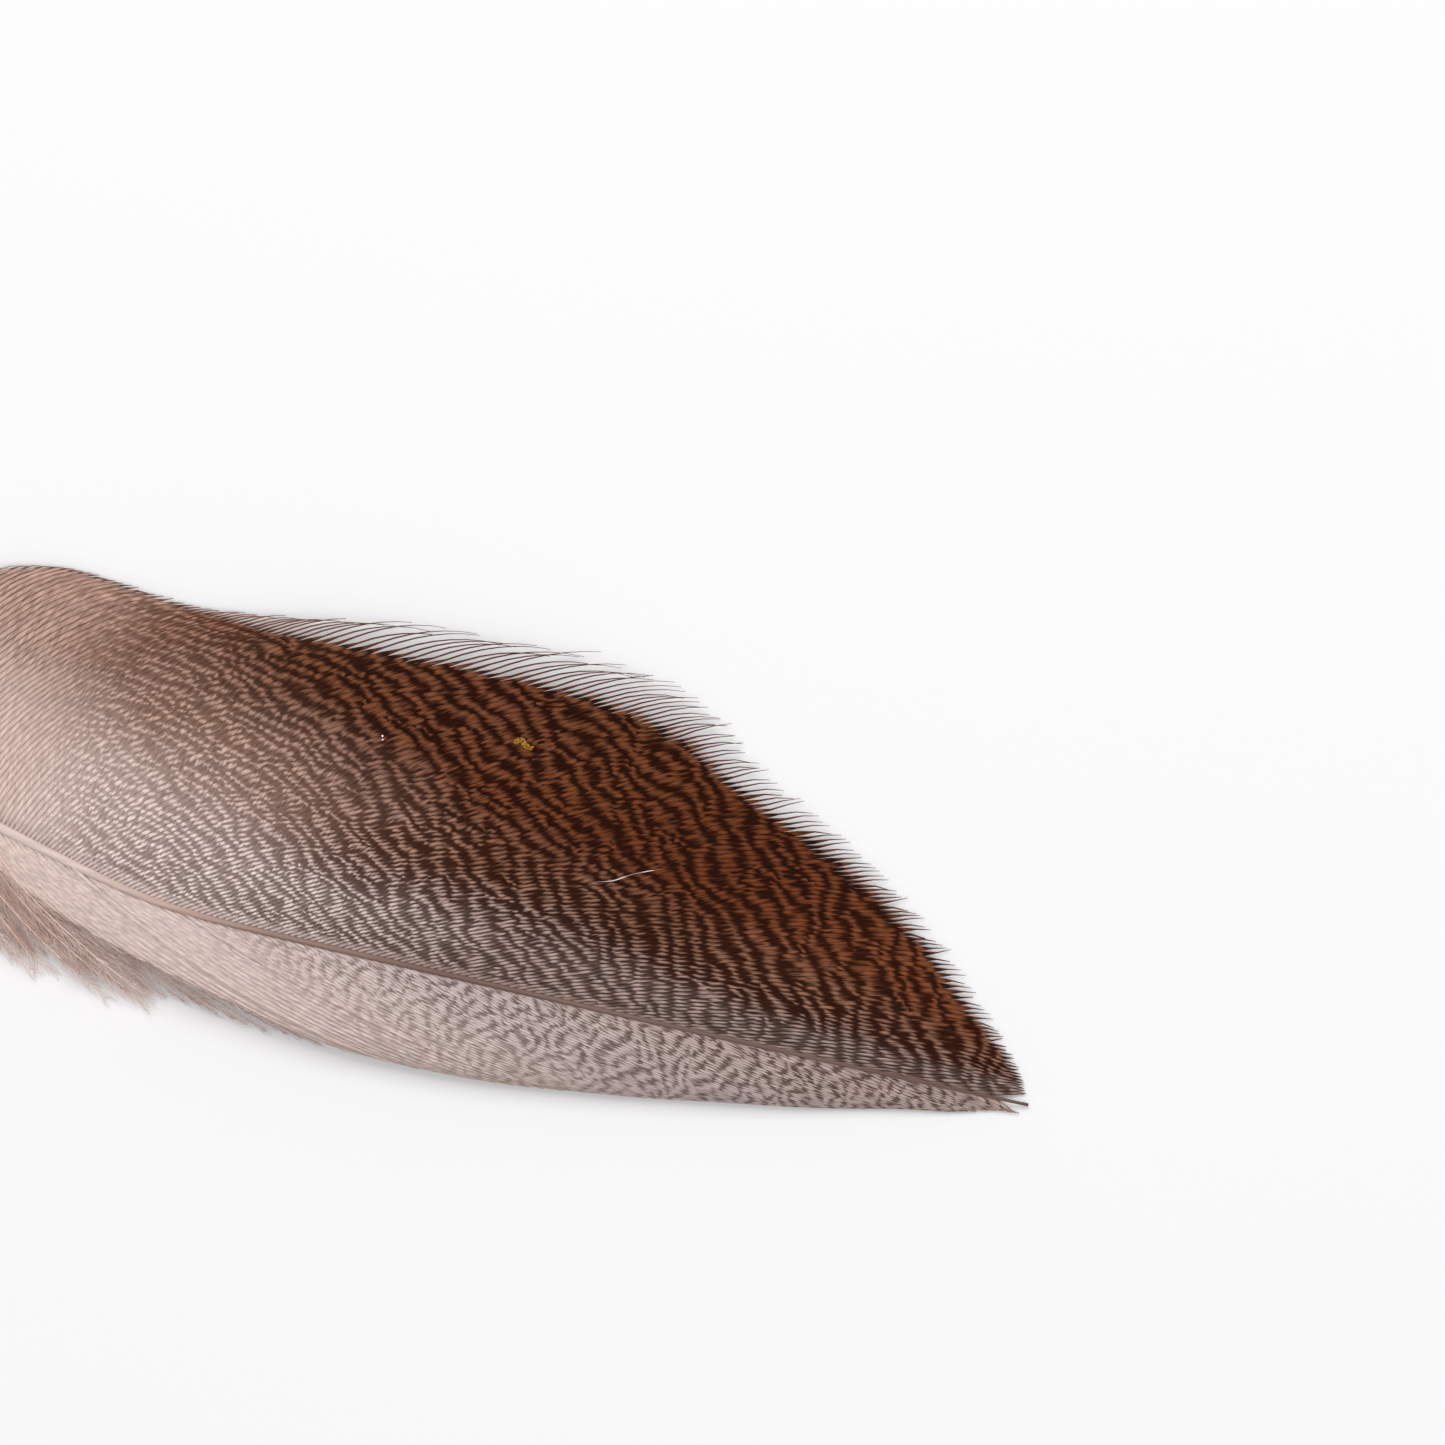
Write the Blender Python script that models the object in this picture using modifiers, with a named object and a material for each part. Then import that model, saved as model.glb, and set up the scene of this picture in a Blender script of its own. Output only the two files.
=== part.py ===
"""Bronze mallard feather, lying on a surface with its back up.

Metres. +X runs along the shaft from quill to tip, +Y to the wide vane, +Z up.
The shaft, the two vanes and the down grew as one piece, so they are one solid.
"""
import bpy
import bmesh
import numpy as np
from mathutils import Vector

MM = 0.001

# Whole feather
LENGTH = 98.0 * MM
QUILL_X = -LENGTH / 2
ARCH_HEIGHT = 4.6 * MM
ARCH_POWER = 2.6
REST_SHIFT = Vector((0.027, 0.045, -0.019)) * MM
WELD_DISTANCE = 0.01 * MM

# Shaft: straight along the vanes, then bent up toward the wide side at the quill
SHAFT_Y = -8.7 * MM
BEND_X = -17.5 * MM
BEND_LENGTH = 2.2 * MM
BEND_SLOPE = 0.24
SHAFT_END_X = 49.0 * MM
SHAFT_STATIONS = 34
SHAFT_ROUNDNESS = 3
SHAFT_PROUD = 0.12 * MM
SHAFT_RADII = (
    (-49.0 * MM, 0.34 * MM),
    (-47.5 * MM, 0.62 * MM),
    (-44.0 * MM, 0.75 * MM),
    (-38.0 * MM, 0.66 * MM),
    (-29.0 * MM, 0.46 * MM),
    (-17.0 * MM, 0.32 * MM),
    (7.0 * MM, 0.26 * MM),
    (49.0 * MM, 0.16 * MM),
)

# Vanes: where the barb that leaves the shaft at root x ends, and its direction at both ends in degrees
WIDE_BARBS = (
    # root x, tip x, tip y, root angle, tip angle
    (-43.0 * MM, -42.5 * MM, 8.6 * MM, 98, 62),
    (-40.0 * MM, -37.6 * MM, 12.6 * MM, 92, 46),
    (-37.0 * MM, -29.5 * MM, 13.9 * MM, 86, 14),
    (-34.0 * MM, -18.0 * MM, 14.1 * MM, 80, 16),
    (-31.0 * MM, -9.0 * MM, 15.0 * MM, 76, 27),
    (-27.0 * MM, 4.0 * MM, 16.3 * MM, 56, 26),
    (-21.0 * MM, 15.6 * MM, 15.3 * MM, 38, 23),
    (-13.0 * MM, 22.5 * MM, 11.0 * MM, 33, 20),
    (-3.0 * MM, 32.0 * MM, 6.4 * MM, 30, 15),
    (7.0 * MM, 39.2 * MM, 1.5 * MM, 24, 9),
    (17.0 * MM, 44.2 * MM, -3.1 * MM, 16, 6),
    (27.0 * MM, 46.8 * MM, -5.7 * MM, 10, 4),
    (45.5 * MM, 48.6 * MM, -8.1 * MM, 6, 0),
)
NARROW_BARBS = (
    (-43.0 * MM, -38.0 * MM, -10.0 * MM, -75, -50),
    (-37.0 * MM, -25.0 * MM, -14.6 * MM, -62, -32),
    (-33.0 * MM, -13.0 * MM, -15.7 * MM, -52, -14),
    (-29.0 * MM, -3.0 * MM, -16.2 * MM, -40, -4),
    (-23.0 * MM, 7.0 * MM, -16.2 * MM, -28, 2),
    (-13.0 * MM, 19.0 * MM, -14.9 * MM, -20, 7),
    (-3.0 * MM, 27.0 * MM, -13.6 * MM, -17, 9),
    (7.0 * MM, 34.0 * MM, -12.4 * MM, -14, 10),
    (17.0 * MM, 40.0 * MM, -11.1 * MM, -11, 10),
    (27.0 * MM, 44.0 * MM, -10.4 * MM, -8, 8),
    (37.0 * MM, 47.0 * MM, -9.6 * MM, -5, 6),
    (45.5 * MM, 48.6 * MM, -9.5 * MM, -6, 2),
)
LOCKS_A_SIDE = 38
ROOT_CROWDING = 1.3
WIDE_ROWS = 12
NARROW_ROWS = 6
VANE_THICKNESS = 0.5 * MM
RIB_HEIGHT = 0.14 * MM
WIDE_NOTCH = 1.5 * MM
NARROW_NOTCH = 0.35 * MM
LARGEST_NOTCH_SHARE = 0.5

# Down: root x, tip x, tip y, root angle, tip angle of each soft lock beside the quill
DOWN_LOCKS = (
    (-46.0 * MM, -47.6 * MM, 4.6 * MM, 118, 92),
    (-45.2 * MM, -46.4 * MM, 7.4 * MM, 110, 84),
    (-44.4 * MM, -44.6 * MM, 9.4 * MM, 104, 76),
    (-43.2 * MM, -41.8 * MM, 11.2 * MM, 98, 62),
    (-46.0 * MM, -46.6 * MM, -8.0 * MM, -100, -84),
    (-45.0 * MM, -43.4 * MM, -10.4 * MM, -88, -70),
    (-43.6 * MM, -40.0 * MM, -12.2 * MM, -80, -60),
    (-41.8 * MM, -36.0 * MM, -13.6 * MM, -72, -48),
    (-40.0 * MM, -31.8 * MM, -14.6 * MM, -68, -40),
    (-38.2 * MM, -27.6 * MM, -15.4 * MM, -64, -34),
    (-36.6 * MM, -23.4 * MM, -15.8 * MM, -60, -30),
    (-35.0 * MM, -18.8 * MM, -16.1 * MM, -56, -22),
)
DOWN_WIDTH = 1.15 * MM
DOWN_DEPTH = 0.42 * MM
DOWN_SIDES = 8
DOWN_RINGS = 8
DOWN_TIP_HEIGHT = 0.5 * MM
DOWN_ROOT_ARCH_SHARE = 0.6
BARB_STEP = 0.01

VANE_COLOUR = (0.16, 0.085, 0.05, 1.0)
VANE_ROUGHNESS = 0.6


def smooth_through(table, column, x):
    """Value of one column of a table at x, on a smooth curve through the table's rows."""
    knots = np.array([row[0] for row in table])
    values = np.array([row[column] for row in table])
    slopes = np.gradient(values, knots)
    i = int(np.clip(np.searchsorted(knots, x) - 1, 0, len(knots) - 2))
    span = knots[i + 1] - knots[i]
    t = np.clip((x - knots[i]) / span, 0.0, 1.0)
    start = values[i] * (1 + 2 * t) * (1 - t) ** 2 + slopes[i] * span * t * (1 - t) ** 2
    end = values[i + 1] * t * t * (3 - 2 * t) - slopes[i + 1] * span * t * t * (1 - t)
    return start + end


def shaft_y(x):
    """Centre line of the shaft seen from above."""
    return SHAFT_Y + BEND_SLOPE * BEND_LENGTH * np.logaddexp(0, (BEND_X - x) / BEND_LENGTH)


def arch(x):
    """Height of the vane's middle surface over its edge, at the shaft."""
    along = (x - QUILL_X) / LENGTH
    return ARCH_HEIGHT * (1 - abs(2 * along - 1) ** ARCH_POWER)


def barb_point(root_x, tip, root_angle, tip_angle, t):
    """Point at fraction t of a barb, seen from above: a curve from the shaft to the vane's edge."""
    root = np.array((root_x, shaft_y(root_x)))
    tip = np.array(tip)
    reach = np.linalg.norm(tip - root) / 3
    angles = np.radians((root_angle, tip_angle))
    leave = root + reach * np.array((np.cos(angles[0]), np.sin(angles[0])))
    arrive = tip - reach * np.array((np.cos(angles[1]), np.sin(angles[1])))
    return (
        (1 - t) ** 3 * root
        + 3 * t * (1 - t) ** 2 * leave
        + 3 * t * t * (1 - t) * arrive
        + t ** 3 * tip
    )


def vane_point(barbs, root_x, t, notch):
    """Point of a vane's middle surface, t of the way out along the barb that leaves at root_x."""
    tip = np.array([smooth_through(barbs, column, root_x) for column in (1, 2)])
    angles = [smooth_through(barbs, column, root_x) for column in (3, 4)]
    length = np.linalg.norm(tip - np.array((root_x, shaft_y(root_x))))
    t_kept = t * (1 - min(notch / length, LARGEST_NOTCH_SHARE))
    x, y = barb_point(root_x, tip, angles[0], angles[1], t_kept)
    height = VANE_THICKNESS / 2 + arch(x) * (1 - t_kept ** 2)
    return Vector((x, y, height))


def new_object(name, data, collection):
    """An object of the feather, moved so that the finished feather rests centred on the origin."""
    obj = bpy.data.objects.new(name, data)
    obj.location = REST_SHIFT
    collection.objects.link(obj)
    return obj


def make_vanes(collection):
    """Both vanes as one sheet, a grid of barbs by distance out, ribbed and notched into locks."""
    columns = 2 * LOCKS_A_SIDE
    rows = NARROW_ROWS + WIDE_ROWS
    first_root = WIDE_BARBS[0][0]
    last_root = WIDE_BARBS[-1][0]
    bm = bmesh.new()
    bmesh.ops.create_grid(bm, x_segments=columns, y_segments=rows, size=0.5)
    for vert in bm.verts:
        column = round((vert.co.x + 0.5) * columns)
        row = round((vert.co.y + 0.5) * rows) - NARROW_ROWS
        along = (column / columns) ** ROOT_CROWDING
        root_x = first_root + (last_root - first_root) * along
        between_locks = column % 2 == 0
        if row >= 0:
            notch = WIDE_NOTCH if between_locks else 0.0
            place = vane_point(WIDE_BARBS, root_x, row / WIDE_ROWS, notch)
        else:
            notch = NARROW_NOTCH if between_locks else 0.0
            place = vane_point(NARROW_BARBS, root_x, -row / NARROW_ROWS, notch)
        if not between_locks and row != 0:
            place.z += RIB_HEIGHT
        vert.co = place
    mesh = bpy.data.meshes.new("feather")
    bm.to_mesh(mesh)
    bm.free()
    vanes = new_object("feather", mesh, collection)
    sheet = vanes.modifiers.new("thickness", "SOLIDIFY")
    sheet.thickness = VANE_THICKNESS
    sheet.offset = 0.0
    return vanes


def make_shaft(collection):
    """The quill and rachis: a tube along the shaft's line that thins to the tip."""
    stations = np.linspace(QUILL_X, SHAFT_END_X, SHAFT_STATIONS)
    curve = bpy.data.curves.new("shaft line", "CURVE")
    curve.dimensions = "3D"
    curve.bevel_depth = 1.0
    curve.bevel_resolution = SHAFT_ROUNDNESS
    curve.use_fill_caps = True
    spline = curve.splines.new("POLY")
    spline.points.add(len(stations) - 1)
    for point, x in zip(spline.points, stations):
        radius = smooth_through(SHAFT_RADII, 1, x)
        vane_height = VANE_THICKNESS / 2 + arch(x)
        height = max(radius, vane_height - radius + SHAFT_PROUD + VANE_THICKNESS / 2)
        point.co = (x, shaft_y(x), height, 1)
        point.radius = radius
    line = new_object("shaft line", curve, collection)
    bpy.context.view_layer.update()
    mesh = bpy.data.meshes.new_from_object(line.evaluated_get(bpy.context.evaluated_depsgraph_get()))
    bm = bmesh.new()
    bm.from_mesh(mesh)
    bmesh.ops.remove_doubles(bm, verts=bm.verts, dist=WELD_DISTANCE)
    bm.to_mesh(mesh)
    bm.free()
    shaft = new_object("shaft", mesh, collection)
    shaft.matrix_world = line.matrix_world
    bpy.data.objects.remove(line)
    return shaft


def make_down_lock(row, collection):
    """One soft lock of down: a flattened spindle along its barb's curve, low on the surface."""
    root_x, tip_x, tip_y, root_angle, tip_angle = row
    root_height = VANE_THICKNESS / 2 + arch(root_x) * DOWN_ROOT_ARCH_SHARE + DOWN_DEPTH / 2
    bm = bmesh.new()
    bmesh.ops.create_uvsphere(bm, u_segments=DOWN_SIDES, v_segments=DOWN_RINGS, radius=1.0)
    for vert in bm.verts:
        t = (vert.co.z + 1) / 2
        centre = barb_point(root_x, (tip_x, tip_y), root_angle, tip_angle, t)
        ahead = barb_point(root_x, (tip_x, tip_y), root_angle, tip_angle, t + BARB_STEP)
        along = Vector((ahead - centre)).normalized()
        side = Vector((-along.y, along.x))
        place = Vector(centre) + side * vert.co.x * DOWN_WIDTH
        height = DOWN_TIP_HEIGHT + (root_height - DOWN_TIP_HEIGHT) * (1 - t) ** 2
        vert.co = (place.x, place.y, height + vert.co.y * DOWN_DEPTH)
    mesh = bpy.data.meshes.new("down lock")
    bm.to_mesh(mesh)
    bm.free()
    return new_object("down lock", mesh, collection)


def make_material():
    finish = bpy.data.materials.new("bronze feather")
    finish.use_nodes = True
    surface = finish.node_tree.nodes["Principled BSDF"]
    surface.inputs["Base Color"].default_value = VANE_COLOUR
    surface.inputs["Roughness"].default_value = VANE_ROUGHNESS
    surface.inputs["Metallic"].default_value = 0.0
    return finish


def main():
    for obj in list(bpy.data.objects):
        bpy.data.objects.remove(obj)
    feather_parts = bpy.data.collections.new("bronze mallard feather")
    joined_forms = bpy.data.collections.new("forms joined to the vanes")
    bpy.context.scene.collection.children.link(feather_parts)
    bpy.context.scene.collection.children.link(joined_forms)

    feather = make_vanes(feather_parts)
    forms = [make_shaft(joined_forms)]
    forms += [make_down_lock(row, joined_forms) for row in DOWN_LOCKS]
    for form in forms:
        form.hide_render = True
        form.display_type = "WIRE"
        union = feather.modifiers.new("join " + form.name, "BOOLEAN")
        union.operation = "UNION"
        union.solver = "EXACT"
        union.object = form
    feather.data.materials.append(make_material())


main()
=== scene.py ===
"""The look of a bronze mallard feather that lies back up on a pale surface.

Sizes are in millimetres and go into the meshes in metres. +X runs from quill to tip, +Y to the wide vane.
"""
import math

import bpy
import bmesh
import numpy as np
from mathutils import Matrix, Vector


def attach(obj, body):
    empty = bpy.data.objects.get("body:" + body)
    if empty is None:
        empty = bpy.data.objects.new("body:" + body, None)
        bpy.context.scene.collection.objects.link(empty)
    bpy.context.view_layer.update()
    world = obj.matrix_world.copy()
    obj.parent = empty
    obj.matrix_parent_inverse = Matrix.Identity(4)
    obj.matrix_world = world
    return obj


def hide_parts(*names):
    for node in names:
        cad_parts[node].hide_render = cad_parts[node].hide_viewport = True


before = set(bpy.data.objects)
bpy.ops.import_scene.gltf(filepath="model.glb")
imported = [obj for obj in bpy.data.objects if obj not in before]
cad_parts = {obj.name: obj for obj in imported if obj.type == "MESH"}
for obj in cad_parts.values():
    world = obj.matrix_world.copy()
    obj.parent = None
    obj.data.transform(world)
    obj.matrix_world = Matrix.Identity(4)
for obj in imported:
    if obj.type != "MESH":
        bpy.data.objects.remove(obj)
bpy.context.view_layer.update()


# Shaft
# The shaft is one rod of keratin: a bare hollow quill at the base, open at its end, that goes over into the
# pith-filled rachis. The rachis thins to the tip, is ridged above and has a furrow along its underside.

MM = 0.001
LENGTH = 98.0
QUILL_X = -49.0
SHAFT_END_X = 49.0
ARCH_HEIGHT = 4.6
ARCH_POWER = 2.6
VANE_THICKNESS = 0.5
REST_SHIFT = np.array((0.027, 0.045, -0.019))

SHAFT_Y = -8.7
BEND_X = -17.5
BEND_LENGTH = 2.2
BEND_SLOPE = 0.24
SHAFT_SIDES = 16
SHAFT_RINGS = 110
SHAFT_PROUD = -0.06
SHAFT_RADII = (
    # x, radius
    (-49.0, 0.34),
    (-47.5, 0.62),
    (-44.0, 0.75),
    (-38.0, 0.62),
    (-29.0, 0.43),
    (-17.0, 0.29),
    (7.0, 0.22),
    (49.0, 0.12),
)
FURROW_FROM_X = -43.0
FURROW_FULL_X = -36.0
FURROW_DEPTH = 0.5
FURROW_NARROWNESS = 3
FURROW_BELOW = 0.5
QUILL_WALL = 0.35
BORE_TAPER = 0.03
BORE_DEPTH = 1.6
LOWEST_Z = 0.03
FULL_DROP_HALF_WIDTH = 0.1
CAP_STRIP = 0.005
SIDE_MARGIN = 0.006
STRAND_MARGINS = (0.04, 0.01)
QUILL_TONES = (
    # x, red, green, blue
    (-49, 228, 214, 198),
    (-44, 218, 200, 186),
    (-30, 217, 197, 189),
    (-24, 219, 198, 187),
    (-21, 208, 183, 172),
    (-18, 198, 171, 159),
    (-15, 184, 155, 143),
    (-12, 168, 141, 129),
    (-9, 150, 123, 112),
    (0, 130, 104, 93),
    (5, 120, 94, 85),
    (20, 118, 95, 87),
    (49, 108, 82, 72),
)
QUILL_STREAKS = (120, 2600)
STREAK_TONES = (0.9, 1.06)
SHADED_SIDE = (-0.9, -0.2)
SHADED_TONE = 0.84


def smooth_through(table, column, x):
    """One column of a table at x, on a smooth curve through the table's rows."""
    knots, values = np.array(table, float)[:, [0, column]].T
    slopes = np.gradient(values, knots)
    i = np.clip(np.searchsorted(knots, x) - 1, 0, len(knots) - 2)
    span = knots[i + 1] - knots[i]
    t = np.clip((x - knots[i]) / span, 0.0, 1.0)
    start = values[i] * (1 + 2 * t) * (1 - t) ** 2 + slopes[i] * span * t * (1 - t) ** 2
    end = values[i + 1] * t * t * (3 - 2 * t) - slopes[i + 1] * span * t * t * (1 - t)
    return start + end


def shaft_y(x):
    """Centre line of the shaft seen from above."""
    return SHAFT_Y + BEND_SLOPE * BEND_LENGTH * np.logaddexp(0, (BEND_X - x) / BEND_LENGTH)


def arch(x):
    """Height of the vane's middle surface over its edge, at the shaft."""
    along = np.clip((x - QUILL_X) / LENGTH, 0.0, 1.0)
    return ARCH_HEIGHT * (1 - abs(2 * along - 1) ** ARCH_POWER)


def ease(low, high, value):
    """0 below low, 1 above high, and a smooth change between."""
    t = np.clip((value - low) / (high - low), 0.0, 1.0)
    return t * t * (3 - 2 * t)


def unit(vectors):
    return vectors / np.linalg.norm(vectors, axis=-1, keepdims=True)


def strands(name, lines, half_width, half_height, sides, edge_drop=(0.0, 0.0), uv_rows=1, facts=None):
    """A mesh of closed strands, one along each line of points (strand, ring, xyz).

    edge_drop lowers the strand's right and left edges. facts are vectors for each ring of each strand, which
    the mesh keeps as attributes, next to side, -1 to 1 from the strand's right edge to its left.
    """
    count, rings = lines.shape[:2]
    bm = bmesh.new()
    strip = bm.loops.layers.uv.new("OFBake")
    bmesh.ops.create_cone(
        bm, cap_ends=True, cap_tris=False, segments=sides, radius1=1.0, radius2=1.0, depth=1.0
    )
    long_edges = [e for e in bm.edges if abs(e.verts[0].co.z - e.verts[1].co.z) > 0.5]
    if rings > 2:
        bmesh.ops.subdivide_edges(bm, edges=long_edges, cuts=rings - 2, use_grid_fill=True)
    for edge in bm.edges:
        runs_along = abs(edge.verts[0].co.z - edge.verts[1].co.z) > 0.5 / rings
        edge.smooth = not (sides == 4 and runs_along and abs(edge.verts[0].co.x) > 0.9)
    for face in bm.faces:
        turns = [math.atan2(-corner.vert.co.x, -corner.vert.co.y) / math.tau + 0.5 for corner in face.loops]
        is_cap = abs(face.normal.z) > 0.5
        for corner, turn in zip(face.loops, turns):
            beside, above, out = corner.vert.co
            if is_cap:
                start = 0.0 if out < 0 else 1 - CAP_STRIP
                corner[strip].uv = (0.5 + 0.4 * beside, start + 0.4 * CAP_STRIP * (1 + above))
            else:
                if max(turns) - turn > 0.5:
                    turn += 1.0
                corner[strip].uv = (turn, SIDE_MARGIN + (1 - 2 * SIDE_MARGIN) * (out + 0.5))
    mesh = bpy.data.meshes.new(name)
    bm.to_mesh(mesh)
    for _ in range(count - 1):
        bm.from_mesh(mesh)
    template = np.array([vert.co for vert in mesh.vertices])
    bm.to_mesh(mesh)
    bm.free()

    ring = np.rint((template[:, 2] + 0.5) * (rings - 1)).astype(int)
    across, up = template[:, 0], template[:, 1]
    along = unit(np.gradient(lines, axis=1))
    left = unit(np.cross((0.0, 0.0, 1.0), along))
    above = np.cross(along, left)
    drop = np.where(across < 0, edge_drop[0], edge_drop[1]) * abs(across)
    rise = up * half_height[:, ring] - drop * np.minimum(1.0, half_width[:, ring] / FULL_DROP_HALF_WIDTH)
    shift = across * half_width[:, ring]
    place = lines[:, ring] + left[:, ring] * shift[..., None] + above[:, ring] * rise[..., None]
    place[..., 2] = np.maximum(place[..., 2], LOWEST_Z)
    mesh.vertices.foreach_set("co", ((place + REST_SHIFT) * MM).ravel())

    uv = mesh.uv_layers["OFBake"].data
    flat = np.empty(len(uv) * 2)
    uv.foreach_get("uv", flat)
    flat = flat.reshape(count, -1, 2)
    columns = -(-count // uv_rows)
    number = np.arange(count)[:, None]
    cells = (number % columns, number // columns)
    for axis, (cell, margin, cell_count) in enumerate(zip(cells, STRAND_MARGINS, (columns, uv_rows))):
        flat[..., axis] = (cell + margin + (1 - 2 * margin) * flat[..., axis]) / cell_count
    uv.foreach_set("uv", flat.ravel())

    for fact, value in (facts or {}).items():
        mesh.attributes.new(fact, "FLOAT_VECTOR", "POINT").data.foreach_set("vector", value[:, ring].ravel())
    mesh.attributes.new("side", "FLOAT", "POINT").data.foreach_set("value", np.tile(across, count))
    mesh.polygons.foreach_set("use_smooth", [True] * len(mesh.polygons))
    mesh.update()
    return mesh


def add_piece(name, mesh, finish):
    """The mesh as a piece of the feather, in place of the plain solid."""
    piece = bpy.data.objects.new(name, mesh)
    bpy.context.scene.collection.objects.link(piece)
    mesh.materials.append(finish)
    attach(piece, "root")
    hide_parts("feather")


def shade(red, green, blue):
    """A colour as it is seen on a screen, 0 to 255, as the shader takes it."""
    seen = np.array((red, green, blue)) / 255
    light = np.where(seen <= 0.04045, seen / 12.92, ((seen + 0.055) / 1.055) ** 2.4)
    return (*light, 1.0)


class Wire:
    """One socket of a material. Arithmetic on wires adds Math nodes, and add makes any other node."""

    def __init__(self, tree, socket=None):
        self.tree = tree
        self.socket = socket

    def add(self, kind, settings, sockets, output=0):
        node = self.tree.nodes.new(kind)
        for name, value in settings.items():
            if name == "stops":
                ramp = node.color_ramp.elements
                ramp.remove(ramp[1])
                for number, (place, colour) in enumerate(value):
                    stop = ramp.new(place) if number else ramp[0]
                    stop.position = place
                    stop.color = colour
            else:
                setattr(node, name, value)
        for name, value in sockets.items():
            if isinstance(value, Wire):
                self.tree.links.new(value.socket, node.inputs[name])
            else:
                node.inputs[name].default_value = value
        return Wire(self.tree, node.outputs[output])

    def math(self, operation, *others):
        return self.add("ShaderNodeMath", {"operation": operation}, dict(enumerate((self, *others))))

    def __add__(self, other):
        return self.math("ADD", other)

    def __sub__(self, other):
        return self.math("SUBTRACT", other)

    def __rsub__(self, other):
        return self.add("ShaderNodeMath", {"operation": "SUBTRACT"}, {0: other, 1: self})

    def __mul__(self, other):
        return self.math("MULTIPLY", other)

    __radd__ = __add__
    __rmul__ = __mul__

    def ease(self, low, high, start=0.0, end=1.0):
        """start where this is low, end where it is high, and a smooth change between."""
        sockets = {"Value": self, "From Min": low, "From Max": high, "To Min": start, "To Max": end}
        return self.add("ShaderNodeMapRange", {"interpolation_type": "SMOOTHSTEP"}, sockets)

    def toward(self, start, end):
        """start where this is 0, end where it is 1, and a smooth change between."""
        return self.ease(0.0, 1.0, start, end)

    def most(self, other):
        return self.math("MAXIMUM", other)

    def ramp(self, stops):
        """The colour at this place along the shaft, in mm, between stops of (place, red, green, blue)."""
        ends = {"From Min": QUILL_X, "From Max": QUILL_X + LENGTH}
        share = self.add("ShaderNodeMapRange", {}, {"Value": self, **ends})
        stops = [((place - QUILL_X) / LENGTH, shade(*colour)) for place, *colour in stops]
        return self.add("ShaderNodeValToRGB", {"stops": stops}, {"Fac": share})

    def mix(self, first, second):
        """The first colour where this is 0, the second where it is 1."""
        return self.add("ShaderNodeMix", {"data_type": "RGBA"}, {0: self, 6: first, 7: second}, 2)

    def dim(self, factor):
        """This colour, times a factor."""
        return self.add("ShaderNodeVectorMath", {"operation": "SCALE"}, {0: self, "Scale": factor})

    def parts(self):
        """The three numbers of this vector."""
        return [self.add("ShaderNodeSeparateXYZ", {}, {"Vector": self}, axis) for axis in "XYZ"]

    def vector(self, x, y, z):
        return self.add("ShaderNodeCombineXYZ", {}, {"X": x, "Y": y, "Z": z})

    def fact(self, name):
        """What the mesh keeps under this name: a vector, or a number at its Fac."""
        return self.add("ShaderNodeAttribute", {"attribute_name": name}, {}, "Vector")

    def noise(self, vector, scale, detail=2.0):
        return self.add("ShaderNodeTexNoise", {}, {"Vector": vector, "Scale": scale, "Detail": detail})


def new_finish(name, roughness, specular, sheen):
    """A material with keratin's gloss: its shader node, and a wire to build its colour from."""
    finish = bpy.data.materials.new(name)
    finish.use_nodes = True
    surface = finish.node_tree.nodes["Principled BSDF"]
    surface.inputs["Roughness"].default_value = roughness
    surface.inputs["Specular IOR Level"].default_value = specular
    surface.inputs["Sheen Weight"].default_value = sheen
    surface.inputs["Sheen Roughness"].default_value = 0.4
    return finish, surface, Wire(finish.node_tree)


def connect(surface, name, wire):
    wire.tree.links.new(wire.socket, surface.inputs[name])


stations = np.linspace(QUILL_X, SHAFT_END_X, SHAFT_RINGS)
shaft_radius = smooth_through(SHAFT_RADII, 1, stations)
shaft_height = np.maximum(shaft_radius, VANE_THICKNESS + arch(stations) - shaft_radius + SHAFT_PROUD)
shaft_line = np.stack((stations, shaft_y(stations), shaft_height), axis=-1)[None]
shaft_mesh = strands(
    "shaft", shaft_line, shaft_radius[None], shaft_radius[None], SHAFT_SIDES,
    facts={"growth": np.stack((stations, stations * 0, stations * 0), axis=-1)[None]},
)

bm = bmesh.new()
bm.from_mesh(shaft_mesh)
bm.faces.ensure_lookup_table()
for vert in bm.verts:
    x = vert.co.x / MM
    radius = smooth_through(SHAFT_RADII, 1, x)
    centre = shaft_y(x) + REST_SHIFT[1]
    beside = (vert.co.y / MM - centre) / radius
    depth = ease(FURROW_FROM_X, FURROW_FULL_X, x) * FURROW_DEPTH * radius
    base = max(radius, VANE_THICKNESS + arch(x) - radius + SHAFT_PROUD)
    if vert.co.z / MM < base - FURROW_BELOW * radius:
        vert.co.z += depth * MM * max(0.0, 1 - beside * beside * FURROW_NARROWNESS)
quill_end = min(bm.faces, key=lambda face: face.calc_center_median().x)
for inset, depth in ((QUILL_WALL * SHAFT_RADII[0][1], 0.0), (BORE_TAPER, BORE_DEPTH)):
    for edge in quill_end.edges:
        edge.smooth = False
    bmesh.ops.inset_region(bm, faces=[quill_end], thickness=inset * MM)
    bmesh.ops.translate(bm, verts=quill_end.verts, vec=(depth * MM, -BEND_SLOPE * depth * MM, 0.0))
bm.to_mesh(shaft_mesh)
bm.free()

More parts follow.
